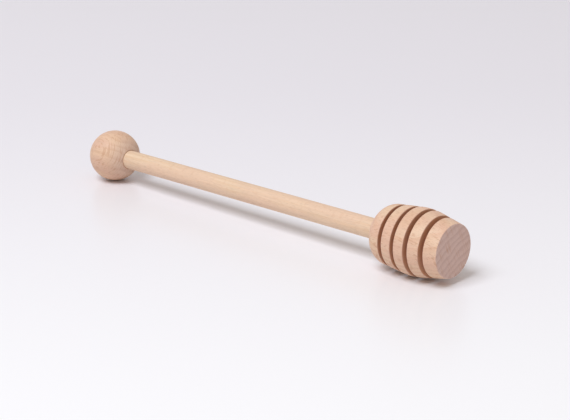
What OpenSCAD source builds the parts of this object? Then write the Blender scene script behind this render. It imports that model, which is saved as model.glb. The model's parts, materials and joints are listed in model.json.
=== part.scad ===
// Wooden honey dipper in three turned pieces, lying on its side on a flat surface.
// A grooved head and a ball are each drilled and glued on one end of a straight rod.
// +X runs from the ball towards the head, +Z is up, and the origin is under the middle.
// The ball is smaller than the head, so the rod rises a little towards the head.

/* [Whole tool] */
// Length from the outer end of the ball to the front face of the head
overall_l = 200; // [150:1:260]

/* [Head] */
// Length of the head, from the ring round the rod to the front face
head_l = 34; // [33:0.5:38]
// Diameter of the head at its widest rib
head_d = 26; // [24:0.5:32]
// Distance from the front face back to the widest section
crown_setback = 15.4; // [14:0.1:17]
// Radius of the lengthwise curve that joins the two tapers
crown_r = 26; // [20:1:40]
// Slope of the front half, in degrees from the axis
front_taper = 12; // [6:0.5:14]
// Slope of the rear half, in degrees from the axis
rear_taper = 6.3; // [3:0.1:9]
// Radius of the rounded shoulder behind the rear rib
shoulder_r = 7; // [5:0.5:8]
// Diameter of the flat ring round the rod, where the shoulder ends
neck_d = 13.5; // [12:0.5:16]

/* [Grooves] */
// Number of grooves, which leaves one more rib than grooves
groove_count = 4; // [2:1:4]
// Distance from one groove to the next, and from the front face to the first
groove_pitch = 6.35; // [5.5:0.05:6.5]
// Width of a groove
groove_w = 1.8; // [1.2:0.1:2.4]
// Diameter of the solid core that the grooves leave
core_d = 14; // [12:0.5:18]
// Radius that sanding leaves on the edges of the ribs
edge_r = 0.35; // [0.2:0.05:0.6]

/* [Handle] */
// Diameter of the rod
rod_d = 8; // [6:0.5:9]
// Length of rod glued into the head
rod_in_head = 20; // [12:1:22]
// Length of rod glued into the ball, measured from the ball's inner pole
rod_in_ball = 13; // [8:1:14]
// Chamfer on both ends of the rod
rod_chamfer = 0.6; // [0.3:0.1:1]
// Air left in each hole beyond the end of the rod
hole_spare = 1; // [0.5:0.1:2]
// Chamfer round the mouth of each hole
mouth_chamfer = 0.3; // [0.2:0.05:0.5]

/* [Ball] */
// Diameter of the ball
ball_d = 22; // [18:0.5:26]

/* [Hidden] */
$fn = 96;
eps = 0.05;
drill_point_angle = 118;
head_wood = "#e0bd9e";
rod_wood = "#ead0ae";
ball_wood = "#dcbb9b";

head_r = head_d / 2;
core_r = core_d / 2;
neck_r = neck_d / 2;
rod_r = rod_d / 2;
ball_r = ball_d / 2;

// Heights inside the head count from its rear ring towards the front face.
// The crown curve is centred across the axis when it is larger than the head.
crown_s = head_l - crown_setback;
crown_centre = head_r - crown_r;

// Angle by which the head's surface faces forward of square, at height s and inset d
function lean(s, d = 0) =
    let (k = (s - crown_s) / (crown_r - d))
    k < -sin(rear_taper) ? -rear_taper : k > sin(front_taper) ? front_taper : asin(k);

// Radius of the head's outline at height s, moved in by d square to the surface
function outline(s, d = 0) =
    let (a = lean(s, d), r = crown_r - d)
    crown_centre + r * cos(a) + (crown_s + r * sin(a) - s) * tan(a);

// The shoulder arc touches the rear taper and ends on the rim of the ring.
shoulder_rise = tan(rear_taper);
shoulder_base = outline(0, shoulder_r);
shoulder_gap = neck_r - shoulder_base;
shoulder_k = 1 + pow(shoulder_rise, 2);
shoulder_s = (shoulder_rise * shoulder_gap
    + sqrt(shoulder_k * pow(shoulder_r, 2) - pow(shoulder_gap, 2))) / shoulder_k;
shoulder_end = shoulder_s - shoulder_r * sin(rear_taper);

// Lying on a flat surface, the tool touches it with the ball and the crown curve.
reach = overall_l - crown_setback - ball_r;
lift = crown_r - head_r;
tilt = asin((crown_r - ball_r) / norm([reach, lift])) - atan2(lift, reach);

// The front rim and the ball bound the tool's length, and its middle is at the origin.
rim_along = overall_l - ball_r - edge_r;
rim_across = outline(head_l - edge_r, edge_r);
rim_x = rim_along * cos(tilt) + rim_across * sin(tilt) + edge_r;
ball_x = (ball_r - rim_x) / 2;

// Puts a piece on the tool's axis, its own z = 0 at distance t from the ball's outer end
module on_axis(t) {
    translate([ball_x, 0, ball_r])
        rotate([0, 90 - tilt, 0])
            translate([0, 0, t - ball_r])
                children();
}

// Drilled blind hole with a chamfered mouth at z = 0 and a drill point at its bottom.
// It also runs out past the mouth, which clears the cap that a drill takes off a ball.
module blind_hole(depth) {
    tip_l = rod_r / tan(drill_point_angle / 2);
    mouth_r = rod_r + mouth_chamfer;
    rotate_extrude()
        polygon([
            [0, -ball_r],
            [mouth_r, -ball_r],
            [mouth_r, 0],
            [rod_r, mouth_chamfer],
            [rod_r, depth],
            [0, depth + tip_l]
        ]);
}

// What rounds a rib's edge takes away, where the wood lies ahead (1) or behind (-1) of s
module rounded_edge(s, side) {
    mid_s = s + side * edge_r;
    mid_r = outline(mid_s, edge_r);
    a = lean(mid_s, edge_r);
    difference() {
        polygon([
            [mid_r, s],
            [outline(s) + eps, s - side * eps],
            [mid_r + edge_r * cos(a), mid_s + edge_r * sin(a)]
        ]);
        translate([mid_r, mid_s])
            circle(r = edge_r);
    }
}

// Half section of the head before its grooves: two tapers, the crown and the shoulder
module barrel_section() {
    crown_start = crown_s - crown_r * sin(rear_taper);
    crown_end = crown_s + crown_r * sin(front_taper);
    polygon([
        [0, 0],
        [neck_r, 0],
        [outline(shoulder_end), shoulder_end],
        [outline(crown_start), crown_start],
        [outline(crown_end), crown_end],
        [outline(head_l), head_l],
        [0, head_l]
    ]);
    intersection() {
        translate([crown_centre, crown_s])
            circle(r = crown_r);
        translate([0, crown_start])
            square([head_r, crown_end - crown_start]);
    }
    intersection() {
        translate([outline(shoulder_s, shoulder_r), shoulder_s])
            circle(r = shoulder_r);
        square([head_r, shoulder_end]);
    }
}

// Grooves cut straight in to the core, each with two rounded edges
module groove_section() {
    for (i = [1 : groove_count]) {
        rear = head_l - i * groove_pitch - groove_w / 2;
        front = rear + groove_w;
        translate([core_r, rear])
            square([head_r, groove_w]);
        rounded_edge(rear, -1);
        rounded_edge(front, 1);
    }
}

// Turned head, with ribs that carry the honey and a blind hole for the rod
module dipper_head() {
    color(head_wood)
        on_axis(overall_l - head_l)
            difference() {
                rotate_extrude()
                    difference() {
                        barrel_section();
                        groove_section();
                        rounded_edge(head_l, -1);
                    }
                blind_hole(rod_in_head + hole_spare);
            }
}

// Straight rod, chamfered at both ends so that it starts easily in its holes
module handle_rod() {
    start = ball_d - rod_in_ball;
    rod_l = overall_l - head_l + rod_in_head - start;
    color(rod_wood)
        on_axis(start)
            rotate_extrude()
                polygon([
                    [0, 0],
                    [rod_r - rod_chamfer, 0],
                    [rod_r, rod_chamfer],
                    [rod_r, rod_l - rod_chamfer],
                    [rod_r - rod_chamfer, rod_l],
                    [0, rod_l]
                ]);
}

// Ball on the end of the rod, drilled along its axis from the side of the head
module end_ball() {
    mouth = sqrt(pow(ball_r, 2) - pow(rod_r + mouth_chamfer, 2));
    color(ball_wood)
        on_axis(ball_r)
            difference() {
                sphere(r = ball_r);
                translate([0, 0, mouth])
                    mirror([0, 0, 1])
                        blind_hole(mouth - ball_r + rod_in_ball + hole_spare);
            }
}

dipper_head();
handle_rod();
end_ball();
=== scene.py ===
import json
import math

import bpy
from mathutils import Matrix, Vector

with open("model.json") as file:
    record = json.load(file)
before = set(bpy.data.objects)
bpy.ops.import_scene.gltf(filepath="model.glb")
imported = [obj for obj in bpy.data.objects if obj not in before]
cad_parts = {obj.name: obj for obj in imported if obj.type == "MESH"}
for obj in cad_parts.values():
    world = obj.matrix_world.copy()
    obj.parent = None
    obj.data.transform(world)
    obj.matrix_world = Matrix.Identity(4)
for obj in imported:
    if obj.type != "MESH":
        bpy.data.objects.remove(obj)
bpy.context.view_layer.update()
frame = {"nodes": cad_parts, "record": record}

MM = 0.001

# The photograph's view: a short telephoto lens, looking down at the lying tool
LENS_MM = 100.0
SENSOR_MM = 36.0
CAMERA_AT = Vector((0.4304, -0.4327, 0.2089))
CAMERA_TURN_DEG = 43.826
CAMERA_DOWN_DEG = 18.392

# One soft box from above and in front, and an even room around it.
# The room is a little warmer than the soft box, so shadows turn slightly brown.
KEY_DIRECTION = Vector((0.0, -0.50, 0.866))
KEY_DISTANCE = 2.4
KEY_SIZE = 1.25
KEY_WATTS = 44.0
KEY_COLOUR = "f2f8ff"
ROOM_STRENGTH = 0.47
ROOM_COLOUR = "fff8ef"
BACKDROP_STRENGTH = 1.0
BACKDROP_COLOUR = "e6e4ea"

# Painted light: the table's colour grows paler from its back to its front, over this span in metres
# from the origin
TABLE_SIZE = 8.0
TABLE_FRONT = Vector((CAMERA_AT.x, CAMERA_AT.y, 0)).normalized()
TABLE_PAINTED_LIGHT_SPAN = (-0.25, 0.30)
TABLE_BACK_PAINTED_SHADE = "e8e4ea"
TABLE_FRONT_PAINTED_LIGHT = "f9f8fa"
TABLE_ROUGHNESS = 0.30
TABLE_IOR = 1.45

# The tool's own axis, from the mount on the front face of the head
front_face = next(m for m in frame["record"]["mounts"] if m["name"] == "front_face")
FACE_CENTRE = Vector(front_face["pos_m"])
TILT = math.atan2(front_face["axis"][2], front_face["axis"][0])

# Grooves in the head, counted back from the front face, in millimetres
GROOVE_PITCH = 6.35
GROOVE_COUNT = 4
GROOVE_HALF = 0.9
# Width over which the painted groove shade and scorch fade out onto the rib edges
SHADE_AND_SCORCH_LIP = 0.12

# Sizes of the wood's figure in millimetres: along the tool, and in two directions across it
RING_WANDER_MM = (60, 7, 7)
FIBRE_MM = (14, 0.35, 0.35)
DRIFT_MM = (26, 9, 9)
# Patches of the painted shade and scorch in the grooves
SHADE_AND_SCORCH_MM = (3, 3, 3)
PATCH_MM = (4, 1.6, 1.6)
# Real rays are about 0.1 mm thick and real pores 0.05 to 0.1 mm, too fine to show in the
# render, so both are drawn two or three times as coarse. The rays are given along the tool,
# outwards from the pith, and round the pith.
RAY_MM = (1.9, 6.0, 0.3)
PORE_MM = (2.4, 0.16, 0.16)
# Lathe and sandpaper leave rings round the axis: sizes along the tool and outwards from it.
LATHE_MM = (0.25, 0.4, 1.0)

# Each pattern's own place in the noise, added to the seed of its piece of wood
RING_WANDER, FIBRES, DRIFT, RAYS, PORES, SHADE_AND_SCORCH, LATHE, PATCHES = range(8)

# Ramps: where the value that goes in starts and ends, and what comes out there
RING_DARKENS = (0.25, 0.9, 0.0, 1.0)
RING_ENDS = (0.9, 1.0, 1.0, 0.0)
RAYS_SHOW = (0.58, 0.70, 0.0, 1.0)
PORES_SHOW = (0.60, 0.75, 0.0, 1.0)
BLUSH_SHOWS = (0.38, 0.62, 0.0, 0.85)
END_GRAIN_SHOWS = (0.45, 0.98, 0.0, 1.0)
# Painted shade and scorch in the grooves: where it fades onto the ribs, and how unevenly it darkens
SHADE_AND_SCORCH_FADES = (GROOVE_HALF, GROOVE_HALF + SHADE_AND_SCORCH_LIP, 1.0, 0.0)
SHADE_AND_SCORCH_VARIES = (0.3, 0.7, 0.75, 1.0)
FIBRE_SHADE = (0.3, 0.7, 0.93, 1.05)
FIBRE_ROUGHNESS = (0.3, 0.7, 0.50, 0.62)
PORE_SHADE = (0.0, 1.0, 1.0, 0.86)

# End grain soaks up light, and the grooves keep the roughness of the cutting tool
END_GRAIN_ROUGHER = 0.18
GROOVE_ROUGHER = 0.25

# Relief of the sanded surface: pores sink in, fibres and lathe rings stand proud
FIBRE_RELIEF = 0.6
PORE_RELIEF = -0.5
RELIEF_STRENGTH = 0.35
RELIEF_DEPTH = 0.08 * MM
WOOD_IOR = 1.5

# Sockets of a Mix node that mixes colours
FACTOR, UNDER, OVER, MIXED = 0, 6, 7, 2


def linear(colour):
    """An sRGB hex colour, such as "e1bfa4", as linear red, green, blue and alpha."""
    channels = [int(colour[i : i + 2], 16) / 255 for i in (0, 2, 4)]
    return (*[c / 12.92 if c <= 0.04045 else ((c + 0.055) / 1.055) ** 2.4 for c in channels], 1.0)


def join(tree, kind, links, out=0, **settings):
    """Adds a node, sets it up, feeds its sockets with values or links, and gives an output."""
    node = tree.nodes.new(kind)
    for name, value in settings.items():
        setattr(node, name, value)
    for socket, value in links.items():
        if isinstance(value, bpy.types.NodeSocket):
            tree.links.new(value, node.inputs[socket])
        else:
            node.inputs[socket].default_value = value
    return node.outputs[out] if len(node.outputs) else None


def ramp(low, high, at_low, at_high):
    """Limits for a Map Range node: from low to high it gives at_low to at_high."""
    return {"From Min": low, "From Max": high, "To Min": at_low, "To Max": at_high}


def tool_place(tree):
    """Place on a piece in millimetres: x runs along the tool's axis, 0 at the front face."""
    turn = Matrix.Rotation(TILT, 3, "Y")
    return join(
        tree,
        "ShaderNodeMapping",
        {
            "Vector": join(tree, "ShaderNodeTexCoord", {}, out="Object"),
            "Location": -(turn @ FACE_CENTRE) / MM,
            "Rotation": (0, TILT, 0),
            "Scale": (1 / MM, 1 / MM, 1 / MM),
        },
    )


def distance_from(tree, place, y, z):
    """Distance in millimetres from a line that runs along the tool at y and z."""
    beside = join(tree, "ShaderNodeVectorMath", {0: place, 1: (0, y, z)}, operation="SUBTRACT")
    across = join(tree, "ShaderNodeVectorMath", {0: beside, 1: (0, 1, 1)}, operation="MULTIPLY")
    return join(tree, "ShaderNodeVectorMath", {0: across}, out="Value", operation="LENGTH")


def streaks(tree, place, cell_mm, seed, detail=2.0):
    """Noise whose cells measure cell_mm along each axis, so long cells lie with the grain."""
    cells = join(tree, "ShaderNodeVectorMath", {0: place, 1: cell_mm}, operation="DIVIDE")
    return join(
        tree,
        "ShaderNodeTexNoise",
        {"Vector": cells, "W": seed, "Scale": 1.0, "Detail": detail},
        noise_dimensions="4D",
    )


def growth_rings(tree, place, cut):
    """Share of dark late wood, rising slowly through each year and ending sharply."""
    wander = streaks(tree, place, RING_WANDER_MM, cut["seed"] + RING_WANDER)
    from_pith = distance_from(tree, place, cut["pith_y"], cut["pith_z"])
    years = join(tree, "ShaderNodeMath", {0: from_pith, 1: cut["ring_mm"]}, operation="DIVIDE")
    shift = join(tree, "ShaderNodeMath", {0: wander, 1: cut["ring_wander"]}, operation="MULTIPLY")
    moved = join(tree, "ShaderNodeMath", {0: years, 1: shift}, operation="ADD")
    year = join(tree, "ShaderNodeMath", {0: moved}, operation="FRACT")
    darkening = join(
        tree,
        "ShaderNodeMapRange",
        {"Value": year, **ramp(*RING_DARKENS)},
        interpolation_type="SMOOTHSTEP",
    )
    ending = join(
        tree,
        "ShaderNodeMapRange",
        {"Value": year, **ramp(*RING_ENDS)},
        interpolation_type="SMOOTHSTEP",
    )
    return join(tree, "ShaderNodeMath", {0: darkening, 1: ending}, operation="MULTIPLY")


def ray_flecks(tree, place, cut):
    """Rays of the wood: ribbons that run out from the pith, seen as short dark dashes."""
    angle = math.atan2(cut["pith_z"], cut["pith_y"])
    outward = (0, math.cos(angle), math.sin(angle))
    around = (0, -math.sin(angle), math.cos(angle))
    along = join(tree, "ShaderNodeSeparateXYZ", {0: place}, out="X")
    radial = join(
        tree,
        "ShaderNodeVectorMath",
        {0: place, 1: outward},
        out="Value",
        operation="DOT_PRODUCT",
    )
    tangent = join(
        tree,
        "ShaderNodeVectorMath",
        {0: place, 1: around},
        out="Value",
        operation="DOT_PRODUCT",
    )
    turned = join(tree, "ShaderNodeCombineXYZ", {"X": along, "Y": radial, "Z": tangent})
    noise = streaks(tree, turned, RAY_MM, cut["seed"] + RAYS, detail=0.0)
    return join(
        tree,
        "ShaderNodeMapRange",
        {"Value": noise, **ramp(*RAYS_SHOW)},
        interpolation_type="SMOOTHSTEP",
    )


def end_grain(tree):
    """How squarely a face cuts across the fibres: 1 on the end faces, 0 along the sides."""
    normal = join(tree, "ShaderNodeTexCoord", {}, out="Normal")
    axis = (math.cos(TILT), 0, math.sin(TILT))
    facing = join(
        tree,
        "ShaderNodeVectorMath",
        {0: normal, 1: axis},
        out="Value",
        operation="DOT_PRODUCT",
    )
    square = join(tree, "ShaderNodeMath", {0: facing}, operation="ABSOLUTE")
    return join(
        tree,
        "ShaderNodeMapRange",
        {"Value": square, **ramp(*END_GRAIN_SHOWS)},
        interpolation_type="SMOOTHSTEP",
    )


def in_groove(tree, place):
    """1 on the walls and floor of a groove, fading out on the rounded edges of the ribs."""
    along = join(tree, "ShaderNodeSeparateXYZ", {0: place}, out="X")
    back = join(tree, "ShaderNodeMath", {0: along, 1: -1 / GROOVE_PITCH}, operation="MULTIPLY")
    count = join(tree, "ShaderNodeMath", {0: back}, operation="ROUND")
    first = join(tree, "ShaderNodeMath", {0: count, 1: 1}, operation="MAXIMUM")
    nearest = join(tree, "ShaderNodeMath", {0: first, 1: GROOVE_COUNT}, operation="MINIMUM")
    off = join(tree, "ShaderNodeMath", {0: back, 1: nearest}, operation="SUBTRACT")
    off_mm = join(tree, "ShaderNodeMath", {0: off, 1: GROOVE_PITCH}, operation="MULTIPLY")
    distance = join(tree, "ShaderNodeMath", {0: off_mm}, operation="ABSOLUTE")
    return join(
        tree,
        "ShaderNodeMapRange",
        {"Value": distance, **ramp(*SHADE_AND_SCORCH_FADES)},
        interpolation_type="SMOOTHSTEP",
    )


def wood(name, cut):
    """Bare sanded wood: rings, fibres, rays and pores of one blank, cut by the piece's shape.

    The cut says where the tree's pith lay beside the tool's axis and how wide a year is, both
    in millimetres, how far the rings wander, how strongly each detail shows, and the colours.
    """
    material = bpy.data.materials.new(name)
    material.use_nodes = True
    tree = material.node_tree
    tree.nodes.clear()
    place = tool_place(tree)
    seed = cut["seed"]

    late = growth_rings(tree, place, cut)
    late_share = join(tree, "ShaderNodeMath", {0: late, 1: cut["ring_depth"]}, operation="MULTIPLY")
    fibres = streaks(tree, place, FIBRE_MM, seed + FIBRES, detail=3.0)
    drift = streaks(tree, place, DRIFT_MM, seed + DRIFT)
    flecks = ray_flecks(tree, place, cut)
    specks = streaks(tree, place, PORE_MM, seed + PORES, detail=0.0)
    pores = join(tree, "ShaderNodeMapRange", {"Value": specks, **ramp(*PORES_SHOW)})
    end = end_grain(tree)

    side = join(
        tree,
        "ShaderNodeMix",
        {FACTOR: late_share, UNDER: linear(cut["early"]), OVER: linear(cut["late"])},
        out=MIXED,
        data_type="RGBA",
    )
    blush = join(tree, "ShaderNodeMapRange", {"Value": drift, **ramp(*BLUSH_SHOWS)})
    side = join(
        tree,
        "ShaderNodeMix",
        {FACTOR: blush, UNDER: side, OVER: linear(cut["blush"])},
        out=MIXED,
        data_type="RGBA",
    )
    patches = streaks(tree, place, PATCH_MM, seed + PATCHES)
    end_late = join(tree, "ShaderNodeMath", {0: late, 1: patches}, operation="MULTIPLY")
    cut_across = join(
        tree,
        "ShaderNodeMix",
        {FACTOR: end_late, UNDER: linear(cut["end_early"]), OVER: linear(cut["end_late"])},
        out=MIXED,
        data_type="RGBA",
    )
    colour = join(
        tree,
        "ShaderNodeMix",
        {FACTOR: end, UNDER: side, OVER: cut_across},
        out=MIXED,
        data_type="RGBA",
    )
    fleck_share = join(tree, "ShaderNodeMath", {0: flecks, 1: cut["fleck_depth"]}, operation="MULTIPLY")
    colour = join(
        tree,
        "ShaderNodeMix",
        {FACTOR: fleck_share, UNDER: colour, OVER: linear(cut["fleck"])},
        out=MIXED,
        data_type="RGBA",
    )
    fibre_shade = join(tree, "ShaderNodeMapRange", {"Value": fibres, **ramp(*FIBRE_SHADE)})
    pore_shade = join(tree, "ShaderNodeMapRange", {"Value": pores, **ramp(*PORE_SHADE)})
    shade = join(tree, "ShaderNodeMath", {0: fibre_shade, 1: pore_shade}, operation="MULTIPLY")
    colour = join(
        tree,
        "ShaderNodeMix",
        {FACTOR: 1.0, UNDER: colour, OVER: shade},
        out=MIXED,
        data_type="RGBA",
        blend_type="MULTIPLY",
    )
    rough = join(tree, "ShaderNodeMapRange", {"Value": fibres, **ramp(*FIBRE_ROUGHNESS)})
    end_rough = join(tree, "ShaderNodeMath", {0: end, 1: END_GRAIN_ROUGHER}, operation="MULTIPLY")
    rough = join(tree, "ShaderNodeMath", {0: rough, 1: end_rough}, operation="ADD")

    # Painted shade in the grooves, with scorch: their walls and floors are coloured darker and browner
    if "groove_shade_and_scorch" in cut:
        groove = in_groove(tree, place)
        shade_and_scorch_noise = streaks(tree, place, SHADE_AND_SCORCH_MM, seed + SHADE_AND_SCORCH)
        uneven = join(tree, "ShaderNodeMapRange", {"Value": shade_and_scorch_noise, **ramp(*SHADE_AND_SCORCH_VARIES)})
        shade_and_scorch_share = join(tree, "ShaderNodeMath", {0: groove, 1: uneven}, operation="MULTIPLY")
        rough = join(
            tree,
            "ShaderNodeMath",
            {0: groove, 1: GROOVE_ROUGHER, 2: rough},
            operation="MULTIPLY_ADD",
        )
        colour = join(
            tree,
            "ShaderNodeMix",
            {FACTOR: shade_and_scorch_share, UNDER: colour, OVER: linear(cut["groove_shade_and_scorch"])},
            out=MIXED,
            data_type="RGBA",
        )

    along = join(tree, "ShaderNodeSeparateXYZ", {0: place}, out="X")
    from_axis = distance_from(tree, place, 0, 0)
    turned = join(tree, "ShaderNodeCombineXYZ", {"X": along, "Y": from_axis})
    lathe = streaks(tree, turned, LATHE_MM, seed + LATHE)
    relief = join(tree, "ShaderNodeMath", {0: fibres, 1: FIBRE_RELIEF}, operation="MULTIPLY")
    relief = join(
        tree,
        "ShaderNodeMath",
        {0: lathe, 1: cut["lathe_depth"], 2: relief},
        operation="MULTIPLY_ADD",
    )
    relief = join(
        tree,
        "ShaderNodeMath",
        {0: pores, 1: PORE_RELIEF, 2: relief},
        operation="MULTIPLY_ADD",
    )
    normal = join(
        tree,
        "ShaderNodeBump",
        {"Strength": RELIEF_STRENGTH, "Distance": RELIEF_DEPTH, "Height": relief},
    )

    shader = join(
        tree,
        "ShaderNodeBsdfPrincipled",
        {"Base Color": colour, "Roughness": rough, "IOR": WOOD_IOR, "Normal": normal},
    )
    join(tree, "ShaderNodeOutputMaterial", {"Surface": shader})
    return material


def turned_beech_head():
    """Beech turned on a lathe: pink-brown, with dull greyish end grain and grooves darkened by painted
    shade and scorch.
    """
    return wood(
        "turned_beech_head",
        {
            "seed": 11.0,
            "pith_y": 26.4,
            "pith_z": -53.9,
            "ring_mm": 2.5,
            "ring_wander": 1.3,
            "ring_depth": 0.7,
            "early": "e3c2a5",
            "late": "d6aa89",
            "blush": "deb49c",
            "fleck": "c08d6c",
            "fleck_depth": 0.45,
            "end_early": "d8b9ae",
            "end_late": "c39e93",
            # Darker, browner colour of the painted groove shade and scorch
            "groove_shade_and_scorch": "cb9470",
            "lathe_depth": 0.5,
        },
    )


def birch_dowel():
    """Birch dowel sanded lengthwise: paler and yellower, with long straight fibres."""
    return wood(
        "birch_dowel",
        {
            "seed": 27.0,
            "pith_y": -48.0,
            "pith_z": -36.0,
            "ring_mm": 1.9,
            "ring_wander": 1.2,
            "ring_depth": 0.55,
            "early": "e3c6a9",
            "late": "d9b48f",
            "blush": "e1bfa5",
            "fleck": "d2a888",
            "fleck_depth": 0.25,
            "end_early": "dcc3ae",
            "end_late": "cdb09a",
            "lathe_depth": 0.15,
        },
    )


def turned_beech_ball():
    """Beech turned to a ball: pink-brown like the head, with rings cut into arcs and ovals."""
    return wood(
        "turned_beech_ball",
        {
            "seed": 42.0,
            "pith_y": 20.0,
            "pith_z": 44.0,
            "ring_mm": 3.0,
            "ring_wander": 1.8,
            "ring_depth": 0.45,
            "early": "e1bd9e",
            "late": "d2a685",
            "blush": "dab29a",
            "fleck": "bf8c6b",
            "fleck_depth": 0.4,
            "end_early": "dabca8",
            "end_late": "c9a692",
            "lathe_depth": 0.4,
        },
    )


def satin_table():
    """Pale satin laminate: near white, with painted light that makes it paler at its front, and only a
    soft, faint gloss.
    """
    material = bpy.data.materials.new("satin_table")
    material.use_nodes = True
    tree = material.node_tree
    tree.nodes.clear()
    position = join(tree, "ShaderNodeTexCoord", {}, out="Object")
    forward = join(
        tree,
        "ShaderNodeVectorMath",
        {0: position, 1: TABLE_FRONT},
        out="Value",
        operation="DOT_PRODUCT",
    )
    # Painted light and shade: the colour is darker at the back of the table and paler at its front
    painted_light_share = join(
        tree,
        "ShaderNodeMapRange",
        {"Value": forward, **ramp(*TABLE_PAINTED_LIGHT_SPAN, 0.0, 1.0)},
        interpolation_type="SMOOTHSTEP",
    )
    painted_light_tone = join(
        tree,
        "ShaderNodeMix",
        {
            FACTOR: painted_light_share,
            UNDER: linear(TABLE_BACK_PAINTED_SHADE),
            OVER: linear(TABLE_FRONT_PAINTED_LIGHT),
        },
        out=MIXED,
        data_type="RGBA",
    )
    shader = join(
        tree,
        "ShaderNodeBsdfPrincipled",
        {"Base Color": painted_light_tone, "Roughness": TABLE_ROUGHNESS, "IOR": TABLE_IOR},
    )
    join(tree, "ShaderNodeOutputMaterial", {"Surface": shader})
    return material


def lay_table():
    """The flat surface that the tool lies on, far larger than the picture."""
    bpy.ops.object.select_all(action="DESELECT")
    bpy.ops.mesh.primitive_plane_add(size=TABLE_SIZE, location=(0, 0, 0))
    table = bpy.context.object
    table.name = "table"
    table.data.materials.append(satin_table())


def hang_soft_box():
    """A square soft box, aimed at the middle of the tool."""
    light = bpy.data.lights.new("soft_box", "AREA")
    light.shape = "SQUARE"
    light.size = KEY_SIZE
    light.energy = KEY_WATTS
    light.color = linear(KEY_COLOUR)[:3]
    lamp = bpy.data.objects.new("soft_box", light)
    lamp.location = KEY_DIRECTION.normalized() * KEY_DISTANCE
    lamp.rotation_euler = (-lamp.location).to_track_quat("-Z", "Y").to_euler()
    bpy.context.collection.objects.link(lamp)


def light_room():
    """An even pale room, seen and mirrored about twice as bright as it lights."""
    world = bpy.data.worlds.new("room")
    world.use_nodes = True
    tree = world.node_tree
    tree.nodes.clear()
    camera_ray = join(tree, "ShaderNodeLightPath", {}, out="Is Camera Ray")
    glossy_ray = camera_ray.node.outputs["Is Glossy Ray"]
    seen = join(tree, "ShaderNodeMath", {0: camera_ray, 1: glossy_ray}, operation="MAXIMUM")
    lighting = join(
        tree,
        "ShaderNodeBackground",
        {"Color": linear(ROOM_COLOUR), "Strength": ROOM_STRENGTH},
    )
    backdrop = join(
        tree,
        "ShaderNodeBackground",
        {"Color": linear(BACKDROP_COLOUR), "Strength": BACKDROP_STRENGTH},
    )
    surface = join(tree, "ShaderNodeMixShader", {0: seen, 1: lighting, 2: backdrop})
    join(tree, "ShaderNodeOutputWorld", {"Surface": surface})
    bpy.context.scene.world = world


def aim_camera():
    """The camera of the photograph, fitted to the outlines of the ball, rod, head and grooves."""
    lens = bpy.data.cameras.new("photo_view")
    lens.lens = LENS_MM
    lens.sensor_width = SENSOR_MM
    camera = bpy.data.objects.new("photo_view", lens)
    camera.location = CAMERA_AT
    camera.rotation_euler = (math.radians(90 - CAMERA_DOWN_DEG), 0, math.radians(CAMERA_TURN_DEG))
    bpy.context.collection.objects.link(camera)
    bpy.context.scene.camera = camera


FINISHES = {
    "dipper_head": turned_beech_head,
    "handle_rod": birch_dowel,
    "end_ball": turned_beech_ball,
}
for node, finish in FINISHES.items():
    material = finish()
    for slot in frame["nodes"][node].material_slots:
        slot.material = material

lay_table()
hang_soft_box()
light_room()
aim_camera()
bpy.context.scene.view_settings.view_transform = "Standard"
